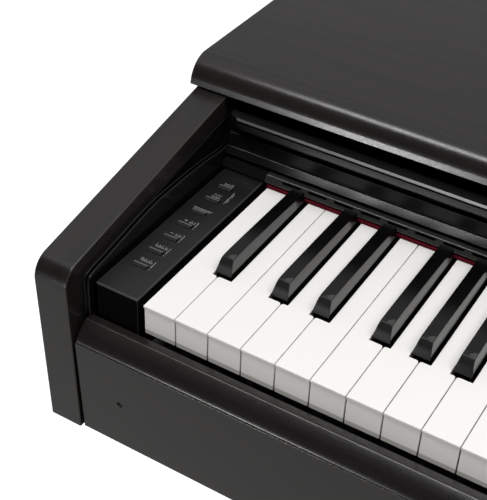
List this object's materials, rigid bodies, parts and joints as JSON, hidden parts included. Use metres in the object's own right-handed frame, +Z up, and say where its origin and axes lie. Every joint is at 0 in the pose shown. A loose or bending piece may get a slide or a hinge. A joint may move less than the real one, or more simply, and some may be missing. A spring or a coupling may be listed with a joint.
{
  "type": "digital piano on stand",
  "caption": "Upright-console digital piano with sliding key cover, hinged keys, side control panel, folding music rest and sprung pedals, on a two-leg stand.",
  "frame": {"origin": "on the floor, under the middle of the overall box", "axes": "+X along the keyboard from bass to treble, +Y from the player to the back, +Z up"},
  "size_m": [1.366, 0.422, 0.815],
  "materials": {
    "dark_wood_film": "satin printed wood film on board",
    "black_board": "black painted board",
    "panel_plastic": "fine moulded texture",
    "gloss_black": "polished moulding",
    "button_plastic": "moulded, slightly smoother than the panel",
    "white_key": "polished moulding",
    "black_key": "fine matt moulding",
    "red_felt": "wool felt",
    "steel": "plated",
    "brass": "polished, with wear on the toes",
    "circuit_board": "solder mask",
    "speaker": "black basket and paper cone",
    "frame_plastic": "moulded frame"
  },
  "bodies": {
    "console": {"left_cheek": "dark_wood_film", "right_cheek": "dark_wood_film", "top_board": "dark_wood_film", "key_bed": "black_board", "front_board": "dark_wood_film", "key_slip": "dark_wood_film", "console_back": "black_board", "key_frame": "frame_plastic", "contact_board": "circuit_board", "key_felt": "red_felt", "slotted_strip": "panel_plastic", "rear_panel": "gloss_black", "left_end_block": "panel_plastic", "right_end_block": "panel_plastic", "left_cover_track": "gloss_black", "right_cover_track": "gloss_black", "left_speaker": "speaker", "right_speaker": "speaker", "main_board": "circuit_board", "jack_box": "panel_plastic", "terminal_plate": "panel_plastic", "left_foot": "dark_wood_film", "right_foot": "dark_wood_film", "left_leg": "dark_wood_film", "right_leg": "dark_wood_film", "back_board": "dark_wood_film", "pedal_box": "dark_wood_film"},
    "key_A0": {"key_A0": "white_key"},
    "key_Asharp0": {"key_Asharp0": "black_key"},
    "key_B0": {"key_B0": "white_key"},
    "key_C1": {"key_C1": "white_key"},
    "key_Csharp1": {"key_Csharp1": "black_key"},
    "key_D1": {"key_D1": "white_key"},
    "key_Dsharp1": {"key_Dsharp1": "black_key"},
    "key_E1": {"key_E1": "white_key"},
    "key_F1": {"key_F1": "white_key"},
    "key_Fsharp1": {"key_Fsharp1": "black_key"},
    "key_G1": {"key_G1": "white_key"},
    "key_Gsharp1": {"key_Gsharp1": "black_key"},
    "middle_keys": {"middle_white_keys": "white_key", "middle_black_keys": "black_key"},
    "treble_keys": {"treble_white_keys": "white_key", "treble_black_keys": "black_key"},
    "button_1": {"panel_button_1": "button_plastic"},
    "button_2": {"panel_button_2": "button_plastic"},
    "button_3": {"panel_button_3": "button_plastic"},
    "button_4": {"panel_button_4": "button_plastic"},
    "button_5": {"panel_button_5": "button_plastic"},
    "button_6": {"panel_button_6": "button_plastic"},
    "button_7": {"panel_button_7": "button_plastic"},
    "power": {"power_button": "button_plastic"},
    "volume": {"volume_slider": "button_plastic"},
    "guide_bar": {"cover_guide_bar": "steel"},
    "cover": {"key_cover": "gloss_black"},
    "rest_panel": {"music_rest": "black_board"},
    "rest_prop": {"music_rest_prop": "steel"},
    "pedal_left": {"left_pedal": "brass"},
    "pedal_middle": {"middle_pedal": "brass"},
    "pedal_right": {"right_pedal": "brass"},
    "adjuster": {"height_adjuster": "panel_plastic"}
  },
  "joints": [
    {"name": "key_A0_press", "type": "hinge", "parent": "console", "child": "key_A0", "pos_m": [0, 0.0356, 0.7225], "axis": [1, 0, 0], "range_deg": [0, 2.5], "stiffness_Nm_per_rad": 0.4, "springref_deg": -25.78},
    {"name": "key_Asharp0_press", "type": "hinge", "parent": "console", "child": "key_Asharp0", "pos_m": [0, 0.0356, 0.7225], "axis": [1, 0, 0], "range_deg": [0, 3], "stiffness_Nm_per_rad": 0.4, "springref_deg": -25.78},
    {"name": "key_B0_press", "type": "hinge", "parent": "console", "child": "key_B0", "pos_m": [0, 0.0356, 0.7225], "axis": [1, 0, 0], "range_deg": [0, 2.5], "stiffness_Nm_per_rad": 0.4, "springref_deg": -25.78},
    {"name": "key_C1_press", "type": "hinge", "parent": "console", "child": "key_C1", "pos_m": [0, 0.0356, 0.7225], "axis": [1, 0, 0], "range_deg": [0, 2.5], "stiffness_Nm_per_rad": 0.4, "springref_deg": -25.78},
    {"name": "key_Csharp1_press", "type": "hinge", "parent": "console", "child": "key_Csharp1", "pos_m": [0, 0.0356, 0.7225], "axis": [1, 0, 0], "range_deg": [0, 3], "stiffness_Nm_per_rad": 0.4, "springref_deg": -25.78},
    {"name": "key_D1_press", "type": "hinge", "parent": "console", "child": "key_D1", "pos_m": [0, 0.0356, 0.7225], "axis": [1, 0, 0], "range_deg": [0, 2.5], "stiffness_Nm_per_rad": 0.4, "springref_deg": -25.78},
    {"name": "key_Dsharp1_press", "type": "hinge", "parent": "console", "child": "key_Dsharp1", "pos_m": [0, 0.0356, 0.7225], "axis": [1, 0, 0], "range_deg": [0, 3], "stiffness_Nm_per_rad": 0.4, "springref_deg": -25.78},
    {"name": "key_E1_press", "type": "hinge", "parent": "console", "child": "key_E1", "pos_m": [0, 0.0356, 0.7225], "axis": [1, 0, 0], "range_deg": [0, 2.5], "stiffness_Nm_per_rad": 0.4, "springref_deg": -25.78},
    {"name": "key_F1_press", "type": "hinge", "parent": "console", "child": "key_F1", "pos_m": [0, 0.0356, 0.7225], "axis": [1, 0, 0], "range_deg": [0, 2.5], "stiffness_Nm_per_rad": 0.4, "springref_deg": -25.78},
    {"name": "key_Fsharp1_press", "type": "hinge", "parent": "console", "child": "key_Fsharp1", "pos_m": [0, 0.0356, 0.7225], "axis": [1, 0, 0], "range_deg": [0, 3], "stiffness_Nm_per_rad": 0.4, "springref_deg": -25.78},
    {"name": "key_G1_press", "type": "hinge", "parent": "console", "child": "key_G1", "pos_m": [0, 0.0356, 0.7225], "axis": [1, 0, 0], "range_deg": [0, 2.5], "stiffness_Nm_per_rad": 0.4, "springref_deg": -25.78},
    {"name": "key_Gsharp1_press", "type": "hinge", "parent": "console", "child": "key_Gsharp1", "pos_m": [0, 0.0356, 0.7225], "axis": [1, 0, 0], "range_deg": [0, 3], "stiffness_Nm_per_rad": 0.4, "springref_deg": -25.78},
    {"name": "middle_keys_press", "type": "hinge", "parent": "console", "child": "middle_keys", "pos_m": [0, 0.0356, 0.7225], "axis": [1, 0, 0], "range_deg": [0, 2.5], "stiffness_Nm_per_rad": 14, "springref_deg": -25.78},
    {"name": "treble_keys_press", "type": "hinge", "parent": "console", "child": "treble_keys", "pos_m": [0, 0.0356, 0.7225], "axis": [1, 0, 0], "range_deg": [0, 2.5], "stiffness_Nm_per_rad": 16, "springref_deg": -25.78},
    {"name": "button_1_push", "type": "slide", "parent": "console", "child": "button_1", "axis": [0, 0, -1], "range_m": [0, 0.001], "stiffness_N_per_m": 400, "springref_m": -0.002},
    {"name": "button_2_push", "type": "slide", "parent": "console", "child": "button_2", "axis": [0, 0, -1], "range_m": [0, 0.001], "stiffness_N_per_m": 400, "springref_m": -0.002},
    {"name": "button_3_push", "type": "slide", "parent": "console", "child": "button_3", "axis": [0, 0, -1], "range_m": [0, 0.001], "stiffness_N_per_m": 400, "springref_m": -0.002},
    {"name": "button_4_push", "type": "slide", "parent": "console", "child": "button_4", "axis": [0, 0, -1], "range_m": [0, 0.001], "stiffness_N_per_m": 400, "springref_m": -0.002},
    {"name": "button_5_push", "type": "slide", "parent": "console", "child": "button_5", "axis": [0, 0, -1], "range_m": [0, 0.001], "stiffness_N_per_m": 400, "springref_m": -0.002},
    {"name": "button_6_push", "type": "slide", "parent": "console", "child": "button_6", "axis": [0, 0, -1], "range_m": [0, 0.001], "stiffness_N_per_m": 400, "springref_m": -0.002},
    {"name": "button_7_push", "type": "slide", "parent": "console", "child": "button_7", "axis": [0, 0, -1], "range_m": [0, 0.001], "stiffness_N_per_m": 400, "springref_m": -0.002},
    {"name": "power_push", "type": "slide", "parent": "console", "child": "power", "axis": [0, 0, -1], "range_m": [0, 0.0012], "stiffness_N_per_m": 400, "springref_m": -0.002},
    {"name": "volume_slide", "type": "slide", "parent": "console", "child": "volume", "axis": [0, 1, 0], "range_m": [0, 0.036]},
    {"name": "cover_slide", "type": "slide", "parent": "console", "child": "guide_bar", "axis": [0, -1, 0], "range_m": [0, 0.168]},
    {"name": "cover_tilt", "type": "hinge", "parent": "guide_bar", "child": "cover", "pos_m": [0, 0.1546, 0.7795], "axis": [1, 0, 0], "range_deg": [0, 9.7]},
    {"name": "music_rest_tilt", "type": "hinge", "parent": "console", "child": "rest_panel", "pos_m": [0, 0.0176, 0.8104], "axis": [1, 0, 0], "range_deg": [0, 70]},
    {"name": "prop_swing", "type": "hinge", "parent": "rest_panel", "child": "rest_prop", "pos_m": [0, 0.0876, 0.8016], "axis": [1, 0, 0], "range_deg": [-130, 0]},
    {"name": "left_pedal_press", "type": "hinge", "parent": "console", "child": "pedal_left", "pos_m": [-0.075, 0.165, 0.078], "axis": [1, 0, 0], "range_deg": [0, 6], "stiffness_Nm_per_rad": 12, "springref_deg": -3.44},
    {"name": "middle_pedal_press", "type": "hinge", "parent": "console", "child": "pedal_middle", "pos_m": [0, 0.165, 0.078], "axis": [1, 0, 0], "range_deg": [0, 6], "stiffness_Nm_per_rad": 12, "springref_deg": -3.44},
    {"name": "right_pedal_press", "type": "hinge", "parent": "console", "child": "pedal_right", "pos_m": [0.075, 0.165, 0.078], "axis": [1, 0, 0], "range_deg": [0, 6], "stiffness_Nm_per_rad": 12, "springref_deg": -3.44},
    {"name": "adjuster_turn", "type": "hinge", "parent": "console", "child": "adjuster", "pos_m": [0, 0.148, 0], "axis": [0, 0, 1], "continuous": true}
  ],
  "couplings": [
    {"joint": "cover_tilt", "follows": "cover_slide", "rad_per_m": 1},
    {"joint": "prop_swing", "follows": "music_rest_tilt", "ratio": -1.8571}
  ]
}
